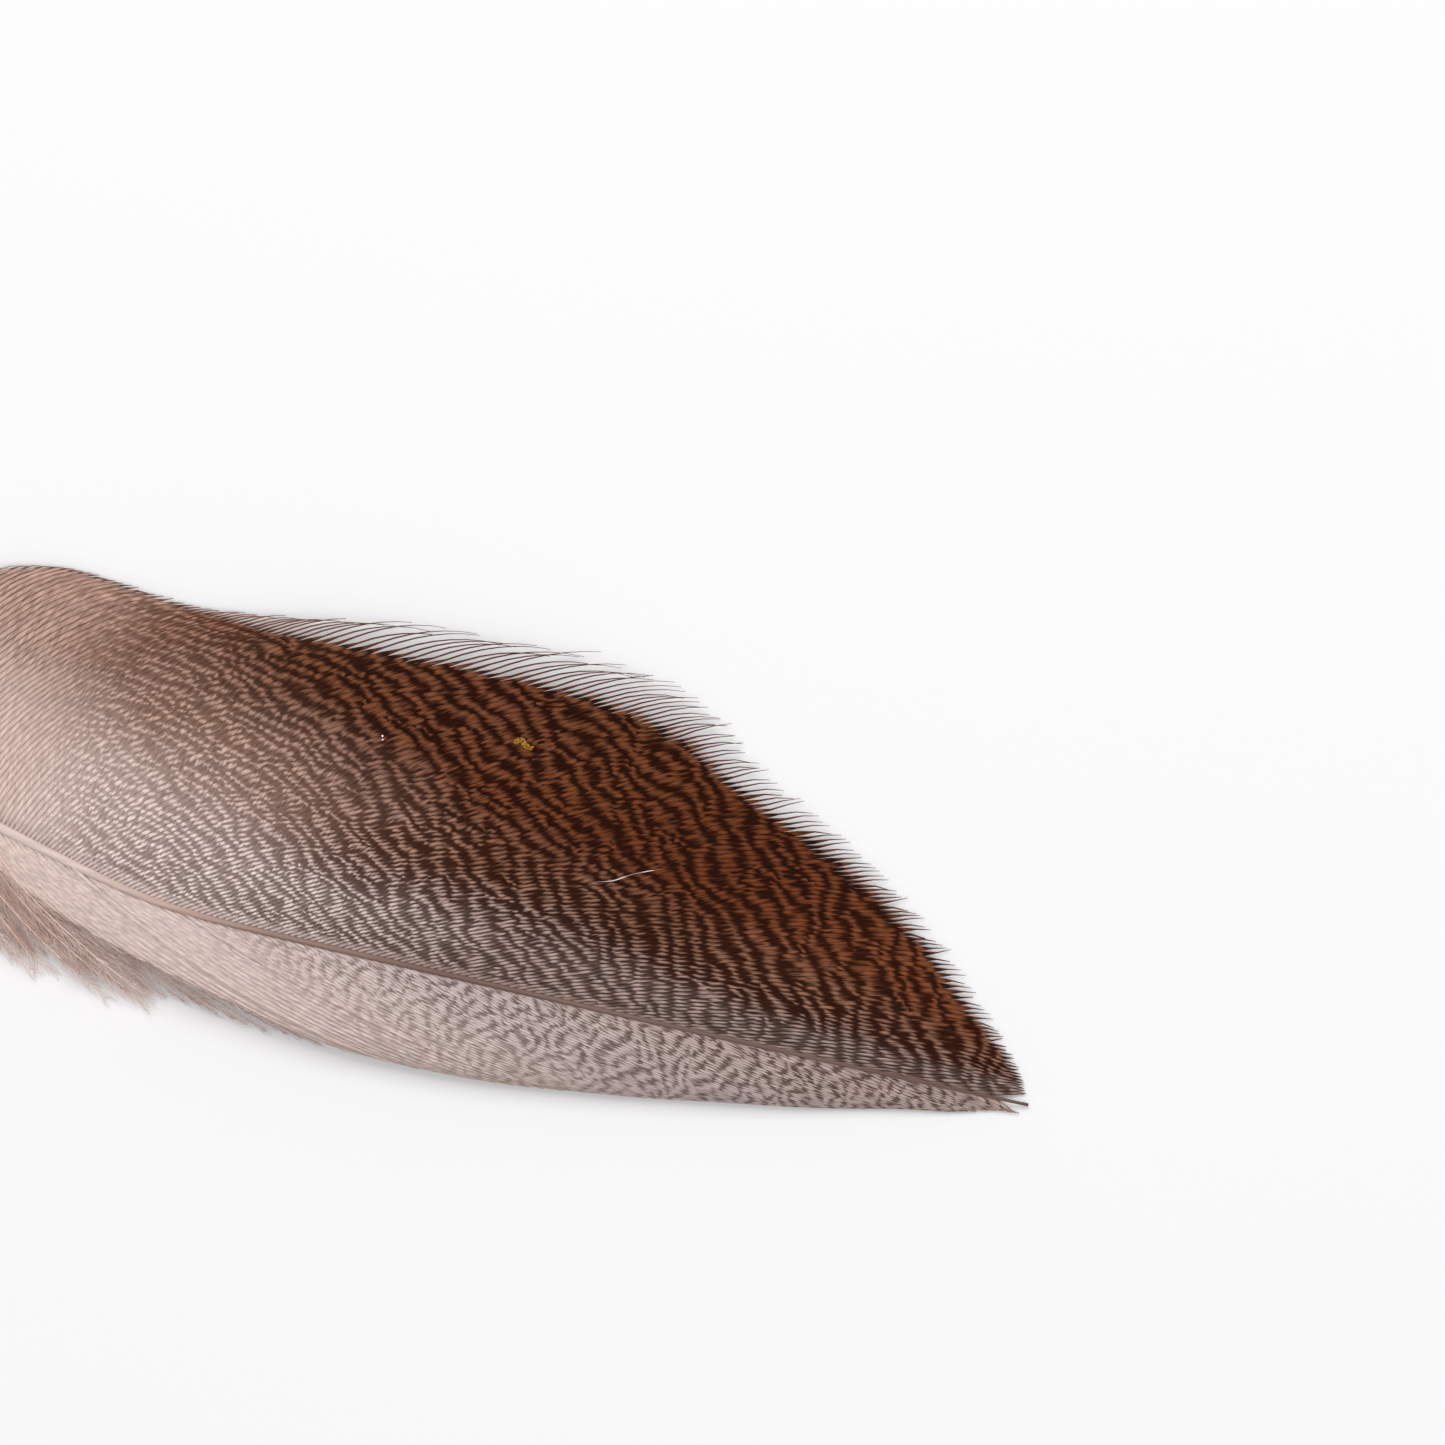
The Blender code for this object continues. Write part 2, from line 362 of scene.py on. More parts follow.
finish, surface, wire = new_finish("quill keratin", 0.5, 0.2, 0.0)
place = wire.add("ShaderNodeTexCoord", {}, {}, "Object")
x, y, z = place.parts()
side = wire.add("ShaderNodeAttribute", {"attribute_name": "side"}, {}, "Fac")
long_way, cross_way = QUILL_STREAKS
streaks = wire.noise(wire.vector(x * long_way, y * cross_way, z * cross_way), 1.0)
tone = streaks.ease(0.3, 0.7, *STREAK_TONES) * side.ease(*SHADED_SIDE, SHADED_TONE, 1.0)
connect(surface, "Base Color", (x * 1000).ramp(QUILL_TONES).dim(tone))
bump = {"Strength": 0.15, "Distance": 0.03 * MM, "Height": streaks}
connect(surface, "Normal", wire.add("ShaderNodeBump", {}, bump))
add_piece("shaft", shaft_mesh, finish)


# Wide vane
# The wide vane is a row of flattened barbs that grow from the shaft's upper side and are hooked together by
# their barbules. Past the vane's edge the barbules end and the bare barb tips run on as a loose fringe.
# Pigment was laid down while each barb grew: pale dashes near the shaft, rust on dark bronze further out.

WIDE_BARBS = (
    # root x, tip x, tip y, root angle, tip angle, loose length
    (-45.2, -45.6, 6.8, 106, 76, 1.5),
    (-44.2, -41.6, 10.4, 101, 52, 2.0),
    (-43.0, -37.0, 12.5, 97, 30, 3.0),
    (-42.0, -33.4, 13.7, 94, 12, 1.6),
    (-40.8, -29.8, 14.3, 92, 4, 0.9),
    (-39.5, -26.6, 14.2, 90, 3, 0.6),
    (-38.2, -23.6, 13.9, 88, 5, 0.6),
    (-37.0, -20.6, 13.7, 86, 9, 0.9),
    (-33.5, -13.2, 14.4, 80, 13, 3.4),
    (-30.0, -3.8, 15.9, 74, 11, 7.5),
    (-27.0, 6.5, 16.5, 60, 9, 9.0),
    (-23.0, 15.6, 16.2, 44, 13, 7.5),
    (-19.0, 20.0, 14.6, 36, 15, 5.0),
    (-13.0, 24.0, 11.5, 33, 16, 3.4),
    (-3.0, 33.2, 6.5, 30, 12, 2.4),
    (7.0, 39.8, 1.8, 24, 8, 1.8),
    (17.0, 44.8, -2.9, 16, 5, 1.4),
    (27.0, 47.3, -5.6, 10, 3, 0.9),
    (45.5, 48.8, -8.1, 5, 0, 0.3),
)
WIDE_PITCH = (
    # root x, distance between barbs square to them
    (-45.2, 0.26),
    (-38.0, 0.28),
    (-35.5, 0.34),
    (-31.0, 0.35),
    (-27.0, 0.30),
    (-17.0, 0.28),
    (7.0, 0.25),
    (30.0, 0.22),
    (45.5, 0.20),
)
WIDE_RINGS = 30
BARB_RIDGE = 0.055
EDGE_DROPS = (0.03, 0.06)
LOOSE_HALF_WIDTH = 0.07
LOOSE_TIP_HALF_WIDTH = 0.015
LOOSE_ARC = 0.05
LOOSE_LIFT = (-0.06, 0.12)
WEB_FADES = ((-45.0, 2.6), (-39.5, 2.2), (-35.0, 0.8))
WEB_UNEVENNESS = 0.12
TIP_LOSS = 0.12
OVERLAP = 0.54
WEB_HALF_WIDTHS = (0.06, 0.42)
BARE_RIDGE_SHARE = 0.35
ARRIVAL_SHARE = 0.66
ROOTWARD_RINGS = 0.9
BAND_LENGTHS = (
    # distance of growth, length of one pale and dark band
    (0.0, 0.9),
    (10.0, 1.05),
    (20.0, 1.25),
    (35.0, 1.35),
    (90.0, 1.35),
)

# Pigment of both vanes. Its waves are measured in bands along a barb and in band lengths across the barbs.
WAVE_SCALE = 0.42
WAVE_FREQUENCY = 2.3
DRIFT_SCALE = 0.3
DRIFT = 2.2
SLIP_SCALE = 0.8
PATCH_SCALE = 0.14
PATCH_REACH = 6
TOOTH = (0.24, 0.14)
BARB_HALF_WIDTH = 0.13
FIBRE_SCALES = (1.2, 8)
RIDGE_ROUNDNESS = 0.1
RIDGE_LEAN = 0.16
MIDDLE_FROM = (6.0, 13.0)
BASE_ROOTS = (-26.0, -14.0)
SHAFT_SIDE = (0.5, 2.2)
SHAFT_SIDE_TONE = 0.9
# Darker barb edges: partly the barbules' own darker web, partly painted shade in the grooves between barbs.
GROOVE_WEB_AND_SHADE_FROM = (0.4, 0.95)
FAR_EDGE_WEB_AND_SHADE_FROM = (0.4, 1.0)
FAR_EDGE_WEB_AND_SHADE_TONE = 0.6
# Where the rim colour lies; on the wide vane it is painted shade at the rolled edge near the base.
RIM_WIDTH = (0.1, 0.5)
RIM_ROOTS = (-30.0, -18.0)
WEB_END = (-0.5, 0.2)
MOTTLED_GROWTH = (9.0, 15.0)
MOTTLED_ROOTS = (-35.0, -29.0)
FIBRE_TONES = ((0.8, 1.2), (0.58, 1.3))
BARBULE_TURNS = 62.0
BARBULE_LEAN = 5.0
WIDE_ZONES = (
    # the pale and the dark tones of each zone: root x, red, green, blue
    (
        ((-45, 216, 192, 182), (-31, 212, 188, 178), (-28, 224, 204, 196), (-22, 230, 212, 205),
         (-18, 230, 212, 206), (-12, 222, 204, 198), (-4, 202, 182, 175), (3, 176, 154, 146),
         (10, 174, 152, 143), (20, 164, 143, 135), (45, 154, 132, 122)),
        ((-45, 176, 151, 142), (-28, 166, 144, 136), (-22.5, 138, 116, 109), (-18, 124, 103, 96),
         (-12, 92, 71, 64), (-4, 68, 46, 39), (3, 58, 35, 27), (10, 52, 29, 21), (45, 48, 26, 18)),
    ),
    (
        ((-45, 194, 162, 148), (-38, 186, 154, 140), (-34.8, 170, 136, 122), (-31, 190, 158, 144),
         (-28, 192, 160, 145), (-24, 194, 163, 150), (-21, 190, 158, 144), (-16, 176, 140, 123),
         (-10, 146, 104, 82), (-4, 146, 108, 89), (2.3, 134, 96, 76), (8, 142, 104, 85),
         (45, 146, 110, 92)),
        ((-45, 130, 98, 86), (-38, 134, 102, 90), (-34.8, 118, 86, 72), (-31, 104, 73, 61),
         (-27.5, 96, 64, 50), (-24, 96, 65, 52), (-21, 98, 67, 54), (-16, 70, 40, 27),
         (-10, 54, 25, 13), (-4, 49, 22, 11), (45, 50, 21, 10)),
    ),
    (
        ((-45, 190, 152, 136), (-38, 182, 145, 127), (-34.5, 150, 104, 80), (-31, 132, 88, 66),
         (-28, 118, 71, 47), (-15, 114, 64, 37), (-9, 108, 57, 31), (0, 110, 58, 32), (7, 122, 68, 41),
         (45, 126, 74, 47)),
        ((-45, 110, 76, 62), (-38, 116, 82, 66), (-34.5, 94, 58, 40), (-31, 64, 34, 20),
         (-28, 46, 19, 8), (-24, 40, 13, 3), (0, 41, 14, 4), (7, 47, 18, 6), (45, 50, 21, 9)),
    ),
)
WIDE_LOOSE_TONES = ((-45, 190, 152, 136), (-36, 150, 106, 88), (-29, 96, 58, 44), (45, 88, 52, 40))


def barb_roots(table, pitch):
    """Where barbs leave the shaft, so that they lie their pitch apart."""
    roots = [table[0][0]]
    while roots[-1] < table[-1][0]:
        x = roots[-1]
        shaft_angle = math.atan2(shaft_y(x + 0.1) - shaft_y(x - 0.1), 0.2)
        angle = abs(math.radians(smooth_through(table, 3, x)) - shaft_angle)
        roots.append(x + smooth_through(pitch, 1, x) / max(0.12, math.sin(angle)))
    return np.array(roots[:-1])


def barb_lines(table, roots, rings, lengths=1.0):
    """The barbs' lines (barb, ring, xyz) and the distance along them (barb, ring).

    lengths is the share of its path that each barb has kept.
    """
    tips = np.stack([smooth_through(table, column, roots) for column in (1, 2)], axis=-1)[:, None]
    angles = np.radians([smooth_through(table, column, roots) for column in (3, 4)])
    ways = np.stack((np.cos(angles), np.sin(angles)), axis=-1)[:, :, None]
    starts = np.stack((roots, shaft_y(roots)), axis=-1)[:, None]
    reach = np.linalg.norm(tips - starts, axis=-1, keepdims=True) / 3
    leave = starts + reach * ways[0]
    arrive = tips - ARRIVAL_SHARE * reach * ways[1]

    def curve(t):
        t = t[..., None]
        inner = 3 * t * (1 - t) ** 2 * leave + 3 * t * t * (1 - t) * arrive
        return (1 - t) ** 3 * starts + inner + t ** 3 * tips

    fine = np.broadcast_to(np.linspace(0, 1, 200), (len(roots), 200))
    steps = np.linalg.norm(np.diff(curve(fine), axis=1), axis=-1)
    along = np.concatenate((np.zeros((len(roots), 1)), np.cumsum(steps, axis=1)), axis=1)
    shares = np.linspace(0, 1, rings) ** ROOTWARD_RINGS
    distance = along[:, -1:] * np.broadcast_to(lengths, (len(roots),))[:, None] * shares
    t = np.array([np.interp(d, a, f) for d, a, f in zip(distance, along, fine)])
    flat = curve(t)
    height = VANE_THICKNESS / 2 + arch(flat[..., 0]) * (1 - t * t)
    return np.concatenate((flat, height[..., None]), axis=-1), distance


def barb_spacing(lines):
    """The wider of a barb's distances to its two neighbours, square to it, at each ring."""
    along = unit(np.gradient(lines[..., :2], axis=1))[1:]
    apart = np.diff(lines[..., :2], axis=0)
    gaps = abs(along[..., 0] * apart[..., 1] - along[..., 1] * apart[..., 0])
    return np.maximum(np.concatenate((gaps[:1], gaps)), np.concatenate((gaps, gaps[-1:])))


def growth_facts(roots, lines, distance, web_end, chance, band_scale=1.0):
    """Where the pigment of each point was laid down: its bands across the barbs, and its growth."""
    along = unit(np.gradient(lines[..., :2], axis=1))[:, 0]
    root_steps = np.gradient(np.stack((roots, shaft_y(roots)), axis=-1), axis=0)
    ahead = np.cumsum(np.einsum("ij,ij->i", along, root_steps))
    grown = ahead[:, None] + distance
    marks = np.linspace(-20.0, 120.0, 400)
    lengths = smooth_through(BAND_LENGTHS, 1, marks) * band_scale
    phases = np.concatenate(((0.0,), np.cumsum(np.diff(marks) / lengths[1:])))
    phase = np.interp(grown, marks, phases)
    row = np.cumsum(np.median(barb_spacing(lines), axis=1))[:, None] / np.interp(grown, marks, lengths)
    like = np.ones_like(distance)
    return {
        "weave": np.stack((phase, row, chance[:, None] * like), axis=-1),
        "growth": np.stack((distance, roots[:, None] * like, web_end[:, None] - distance), axis=-1),
    }


def gather(lines, distance, web_end, chance, sizes, pull, stray):
    """Loose barb ends draw together into small pointed locks, and stray a little."""
    count = len(lines)
    loose = np.clip((distance - web_end[:, None]) / (distance[:, -1:] - web_end[:, None] + 0.3), 0, 1)
    middle = np.zeros(count)
    closeness = np.zeros(count)
    first = 0
    while first < count:
        last = min(count, first + int(chance.integers(*sizes)))
        middle[first:last] = (first + last - 1) / 2
        closeness[first:last] = chance.uniform(*pull)
        first = last
    spacing = barb_spacing(lines)
    along = unit(np.gradient(lines[..., :2], axis=1))
    side = np.stack((-along[..., 1], along[..., 0]), axis=-1)
    turn = np.sign(np.sum(side[:, 5] * np.gradient(lines[:, 5, :2], axis=0), axis=-1))
    draw = (middle - np.arange(count))[:, None] * spacing * (turn * closeness)[:, None] * loose ** 1.5
    loose_length = np.maximum(0, distance[:, -1:] - web_end[:, None])
    strayed = chance.normal(0, stray, (count, 1)) * loose ** 2
    sway = (strayed + 4 * LOOSE_ARC * loose * (1 - loose)) * loose_length
    lines[..., :2] += side * (draw + sway)[..., None]
    lines[..., 2] += loose * chance.uniform(*LOOSE_LIFT, (count, 1))
    return lines


chance = np.random.default_rng(11)
wide_roots = barb_roots(WIDE_BARBS, WIDE_PITCH)
wide_count = len(wide_roots)
loose_length = smooth_through(WIDE_BARBS, 5, wide_roots)
even_lines, even_distance = barb_lines(WIDE_BARBS, wide_roots, WIDE_RINGS)
full_length = even_distance[:, -1]
web_end = full_length - loose_length + chance.normal(0, WEB_UNEVENNESS, wide_count)
kept = 1 - abs(chance.normal(0, TIP_LOSS, wide_count)) * loose_length / full_length
wide_lines, wide_distance = barb_lines(WIDE_BARBS, wide_roots, WIDE_RINGS, kept)
spacing = barb_spacing(even_lines)
fade = np.interp(wide_roots, *np.transpose(WEB_FADES))[:, None]
in_web = ease(-0.25, 0.75, (web_end[:, None] - wide_distance) / fade)
loose_part = ease(0, 1, (wide_distance - web_end[:, None]) / np.maximum(0.3, full_length - web_end)[:, None])
bare = LOOSE_HALF_WIDTH + (LOOSE_TIP_HALF_WIDTH - LOOSE_HALF_WIDTH) * loose_part
half_width = bare + (np.clip(spacing * OVERLAP, *WEB_HALF_WIDTHS) - bare) * in_web
barb_chance = chance.random(wide_count)
wide_facts = growth_facts(wide_roots, wide_lines, wide_distance, web_end, barb_chance)
wide_lines = gather(wide_lines, wide_distance, web_end, chance, (2, 6), (0.2, 0.75), 0.035)
half_height = BARB_RIDGE * (BARE_RIDGE_SHARE + (1 - BARE_RIDGE_SHARE) * in_web)
wide_mesh = strands("vane_wide", wide_lines, half_width, half_height, 4, EDGE_DROPS, facts=wide_facts)


def vane_finish(
    name, zones, change, plain, pale_from, thinner, slant, evenness, ragged, ridge_tone, groove, loose, rim
):
    """Keratin of a vane: bands of pigment that step from barb to barb.

    zones: tones beside the shaft, further out and at the edge, each a pale and a dark ramp over the roots
    change: the two stretches of growth in which one zone goes over into the next
    plain: the roots between which the bands begin, and how much sooner they do so for each mm out
    pale_from: how high a wave turns pale, inside and at the edge
    thinner: how much higher that is past the shaft's side
    slant: how far the waves move on from barb to barb
    evenness: how straight they run, 0 to 1
    ragged: how much fine fibres break them, inside and at the edge
    ridge_tone: how pale a barb's ridge stays in the dark waves, near the base and beside the shaft
    groove: how pale a barb's edges are, beside the shaft, further out, and where it is plain; the darker
    edges are partly the barbules' own darker web and partly painted shade in the grooves between barbs
    loose: the ramp of the loose tips
    rim: how strong the rim's colour is at the base and further on, and which it is; on the wide vane it is
    painted shade, a dark line where the edge rolls over near the base
    """
    finish, surface, wire = new_finish(name, 0.65, 0.05, 0.0)
    phase, row, own = wire.fact("weave").parts()
    distance, root, web_left = wire.fact("growth").parts()
    side = wire.add("ShaderNodeAttribute", {"attribute_name": "side"}, {}, "Fac")
    across = side.math("ABSOLUTE")
    row_here = row + side * BARB_HALF_WIDTH
    patches = wire.noise(wire.vector(phase * PATCH_SCALE, row * PATCH_SCALE, 8.0), 1.0)
    grown = distance + (patches - 0.5) * PATCH_REACH
    past_near = grown.ease(*change[0])
    far = grown.ease(*change[1])
    middle = grown.ease(*MIDDLE_FROM)

    drift = (wire.noise(wire.vector(phase * DRIFT_SCALE, row * DRIFT_SCALE, 3.0), 1.0) - 0.5) * DRIFT
    slip = wire.noise(wire.vector(phase * SLIP_SCALE, own * 97, 5.0), 1.0, 1.0) - 0.5
    along = phase + drift + slip + side * far.toward(*TOOTH) + row * slant
    waves = wire.add("ShaderNodeTexGabor", {"gabor_type": "2D"}, {
        "Vector": wire.vector(along, row_here, 0.0), "Scale": WAVE_SCALE, "Frequency": WAVE_FREQUENCY,
        "Anisotropy": evenness, "Orientation": 0.0,
    }, "Phase")
    fibres = wire.noise(wire.vector(phase * FIBRE_SCALES[0], row_here * FIBRE_SCALES[1], own * 3), 1.0)
    height = (waves * 2 - 1).math("ABSOLUTE") + (fibres - 0.5) * far.toward(*ragged)

    unbanded = (root + distance * plain[2]).ease(plain[0], plain[1], 1.0, 0.0)
    beside_shaft = distance.ease(*SHAFT_SIDE, SHAFT_SIDE_TONE, 0.0)
    dark_ridge = (ridge_tone[1] * (1 - middle)).most(root.ease(*BASE_ROOTS, ridge_tone[0], 0.0))
    crest = height - across * RIDGE_ROUNDNESS - side * RIDGE_LEAN - middle * thinner
    dashes = crest.ease(pale_from[0] - 0.32, pale_from[0] + 0.38, dark_ridge, 1.0)
    # Barb edges darken: partly their own darker web, partly painted shade in the grooves between barbs.
    groove_web_and_shade_tone = unbanded.toward(middle.toward(groove[0], groove[1]), groove[2])
    ridge = across.ease(*GROOVE_WEB_AND_SHADE_FROM, 1.0, groove_web_and_shade_tone).most(beside_shaft)
    near_mask = dashes.most(unbanded).most(beside_shaft) * ridge
    lines = height.ease(pale_from[1] - 0.35, pale_from[1] + 0.5)
    # Far out the barb edges darken too: partly their own web, partly painted shade between barbs.
    far_mask = lines.most(unbanded) * across.ease(*FAR_EDGE_WEB_AND_SHADE_FROM, 1.0, FAR_EDGE_WEB_AND_SHADE_TONE)
    mask = near_mask * (1 - far) + far_mask * far

    inner, further, outer = ([root.ramp(tones) for tones in zone] for zone in zones)
    pale, dark = (
        far.mix(past_near.mix(inner[tone], further[tone]), outer[tone]) for tone in (0, 1)
    )
    colour = mask.mix(dark, pale)
    # A rim of colour at the web's end: on the wide vane painted shade, a dark line where the edge rolls over
    # near the base; on the narrow vane a brownish rim further on.
    edge = web_left.ease(*RIM_WIDTH, 1.0, 0.0) * root.ease(*RIM_ROOTS, rim[0], rim[1])
    colour = edge.mix(colour, shade(*rim[2]))
    colour = web_left.ease(*WEB_END, 1.0, 0.0).mix(colour, root.ramp(loose))
    mottled = grown.ease(*MOTTLED_GROWTH) * root.ease(*MOTTLED_ROOTS, 1.0, 0.0)
    low, high = (mottled.toward(*tones) for tones in zip(*FIBRE_TONES))
    connect(surface, "Base Color", colour.dim(fibres.ease(0.25, 0.75, low, high)))
    barbules = (distance * BARBULE_TURNS + across * BARBULE_LEAN).math("SINE")
    bump = {"Strength": 0.25, "Distance": 0.02 * MM, "Height": barbules}
    connect(surface, "Normal", wire.add("ShaderNodeBump", {}, bump))
    return finish


# The wide vane's dark rim colour is painted shade where its edge rolls over near the base.
wide_finish = vane_finish(
    "bronze barbs", WIDE_ZONES, change=((6.0, 16.5), (14.0, 26.0)), plain=(-29.0, -22.0, 0.575),
    pale_from=(0.52, 0.52), thinner=0.12, slant=-0.28, evenness=0.65, ragged=(0.9, 1.3),
    ridge_tone=(0.26, 0.18), groove=(0.06, 0.5, 0.05), loose=WIDE_LOOSE_TONES, rim=(0.85, 0.0, (88, 56, 43)),
)
add_piece("vane_wide", wide_mesh, wide_finish)


# Narrow vane
# The narrow vane has shorter barbs that leave the shaft at a low angle and bend round until they run along
# its closed edge. It is light grey with thin brown dashes. Its first barbs are hooked only near the shaft
# and soft beyond, and those soft parts carry the down.

NARROW_BARBS = (
    # root x, tip x, tip y, root angle, tip angle, loose length
    (-43.0, -38.0, -10.0, -75, -50, 5.0),
    (-37.0, -25.0, -14.6, -62, -32, 11.5),
    (-33.0, -13.0, -15.7, -52, -14, 17.0),
    (-29.0, -3.0, -16.2, -40, -4, 12.0),
    (-27.0, 1.0, -16.3, -34, -1, 8.0),
    (-23.0, 7.0, -16.2, -28, 2, 0.4),
    (-13.0, 19.0, -14.9, -20, 7, 0.4),
    (-3.0, 27.0, -13.6, -17, 9, 0.4),
    (7.0, 34.0, -12.4, -14, 10, 0.4),
    (17.0, 40.0, -11.1, -11, 10, 0.4),
    (27.0, 44.0, -10.4, -8, 8, 0.4),
    (37.0, 47.0, -9.6, -5, 6, 0.3),
    (45.5, 48.6, -9.5, -6, 2, 0.3),
)
NARROW_PITCH = (
    # root x, distance between barbs square to them
    (-43.0, 0.34),
    (-30.0, 0.29),
    (-17.0, 0.25),
    (7.0, 0.20),
    (45.5, 0.19),
)
NARROW_RINGS = 26
SOFT_UNTIL_X = -27.6
CLOSED_EDGE_LOOSE = 0.4
NARROW_WEB_FADE = 0.8
NARROW_BAND_SCALE = 0.72
NARROW_RIDGE = 0.035
NARROW_EDGE_DROPS = (0.03, 0.02)
NARROW_BARE_HALF_WIDTH = 0.04
NARROW_OVERLAP = 0.56
NARROW_WEB_HALF_WIDTHS = (0.05, 0.42)
NARROW_BARE_RIDGE_SHARE = 0.5
SHORTEST_WEB = 2.0
NARROW_WEB_UNEVENNESS = 0.15
NARROW_TIP_LOSS = 0.01
GREY_TONES = (
    # pale, then dark: root x, red, green, blue
    ((-45, 214, 190, 180), (-29, 215, 194, 185), (-22, 216, 197, 190), (-15, 212, 193, 187),
     (-7, 208, 190, 186), (0, 202, 184, 181), (8, 196, 178, 174), (23, 188, 168, 162), (45, 178, 158, 150)),
    ((-45, 206, 182, 172), (-29, 209, 187, 177), (-22, 198, 176, 167), (-15, 176, 155, 147),
     (-7, 154, 134, 128), (-1, 131, 111, 106), (7, 122, 101, 96), (12, 116, 94, 87), (20, 104, 80, 72),
     (45, 98, 74, 66)),
)
NARROW_LOOSE_TONES = ((-45, 214, 180, 166), (-29, 210, 176, 162), (45, 170, 136, 122))

narrow_roots = barb_roots(NARROW_BARBS, NARROW_PITCH)
narrow_count = len(narrow_roots)
soft_length = np.interp(narrow_roots, *np.array(NARROW_BARBS)[:, [0, 5]].T)
loose_length = np.where(narrow_roots < SOFT_UNTIL_X, soft_length, CLOSED_EDGE_LOOSE)
even_lines, even_distance = barb_lines(NARROW_BARBS, narrow_roots, NARROW_RINGS)
full_length = even_distance[:, -1]
narrow_web_end = np.maximum(SHORTEST_WEB, full_length - loose_length)
narrow_web_end = narrow_web_end + chance.normal(0, NARROW_WEB_UNEVENNESS, narrow_count)
kept = 1 - abs(chance.normal(0, NARROW_TIP_LOSS, narrow_count))
narrow_lines, narrow_distance = barb_lines(NARROW_BARBS, narrow_roots, NARROW_RINGS, kept)
spacing = barb_spacing(even_lines)
in_web = ease(-0.25, 0.75, (narrow_web_end[:, None] - narrow_distance) / NARROW_WEB_FADE)
web_half_width = np.clip(spacing * NARROW_OVERLAP, *NARROW_WEB_HALF_WIDTHS)
half_width = NARROW_BARE_HALF_WIDTH + (web_half_width - NARROW_BARE_HALF_WIDTH) * in_web
barb_chance = chance.random(narrow_count)
narrow_facts = growth_facts(
    narrow_roots, narrow_lines, narrow_distance, narrow_web_end, barb_chance, NARROW_BAND_SCALE
)
narrow_lines = gather(narrow_lines, narrow_distance, narrow_web_end, chance, (2, 5), (0.1, 0.4), 0.01)
half_height = NARROW_RIDGE * (NARROW_BARE_RIDGE_SHARE + (1 - NARROW_BARE_RIDGE_SHARE) * in_web)
narrow_mesh = strands(
    "vane_narrow", narrow_lines, half_width, half_height, 4, NARROW_EDGE_DROPS, facts=narrow_facts
)
narrow_finish = vane_finish(
    "grey barbs", (GREY_TONES,) * 3, change=((7.0, 14.0), (9.0, 16.0)), plain=(-20.0, -6.0, 0.35),
    pale_from=(0.3, 0.32), thinner=0.0, slant=0.1, evenness=0.4, ragged=(2.0, 2.2), ridge_tone=(0.0, 0.0),
    groove=(0.7, 0.7, 0.7), loose=NARROW_LOOSE_TONES, rim=(0.0, 0.5, (140, 104, 90)),
)
add_piece("vane_narrow", narrow_mesh, narrow_finish)


# Down
# Down is barbs whose barbules have no hooks: long, soft and apart. It grows on both sides of the shaft next
# to the quill, and as the outer parts of the narrow vane's first barbs.

WIDE_DOWN = (
    # root x, tip x, tip y, root angle, tip angle
    (-46.2, -47.8, 4.4, 118, 92),
    (-45.2, -46.4, 7.4, 110, 84),
    (-44.4, -44.6, 9.4, 104, 76),
    (-42.6, -41.2, 11.6, 98, 62),
)
NARROW_DOWN = (
    # root x, tip x, tip y, root angle, tip angle
    (-46.2, -46.8, -7.8, -100, -84),
    (-45.0, -43.4, -10.4, -88, -70),
    (-43.6, -40.0, -12.2, -80, -60),
    (-41.8, -36.0, -13.6, -72, -48),
    (-40.0, -31.8, -14.6, -68, -40),
    (-38.2, -27.6, -15.4, -64, -34),
    (-36.6, -23.4, -15.8, -60, -30),
    (-35.0, -18.8, -16.1, -56, -22),
    (-32.0, -14.0, -16.0, -50, -16),
)
DOWN_RINGS = 16
DOWN_HALF_WIDTH = 0.05
BARBULE_STEP = 0.32
BARBULE_RINGS = 3
BARBULE_HALF_WIDTH = 0.025
BARBULES_A_LOCK = 5
LOCK_PULL = 0.45


def down_barbs(table, count, lift, sway):
    """Lines of soft barbs between the rows of a table, each a little off its neighbours' way."""
    roots = np.linspace(table[0][0], table[-1][0], count)
    lines, distance = barb_lines(table, roots, DOWN_RINGS, 1 - chance.random(count) * 0.25)
    share = distance / distance[:, -1:]
    along = unit(np.gradient(lines[..., :2], axis=1))
    side = np.stack((-along[..., 1], along[..., 0]), axis=-1)
    wave = chance.normal(0, sway, (count, 1)) * share ** 2 + 0.12 * np.sin(
        share * chance.uniform(3, 7, (count, 1)) + chance.uniform(0, 6.3, (count, 1))
    ) * share
    lines[..., :2] += side * wave[..., None]
    bow = np.sin(np.pi * share * 0.9)
    lines[..., 2] = lines[..., 2] * (1 - 0.5 * share) + chance.uniform(*lift, (count, 1)) * bow
    return lines, distance


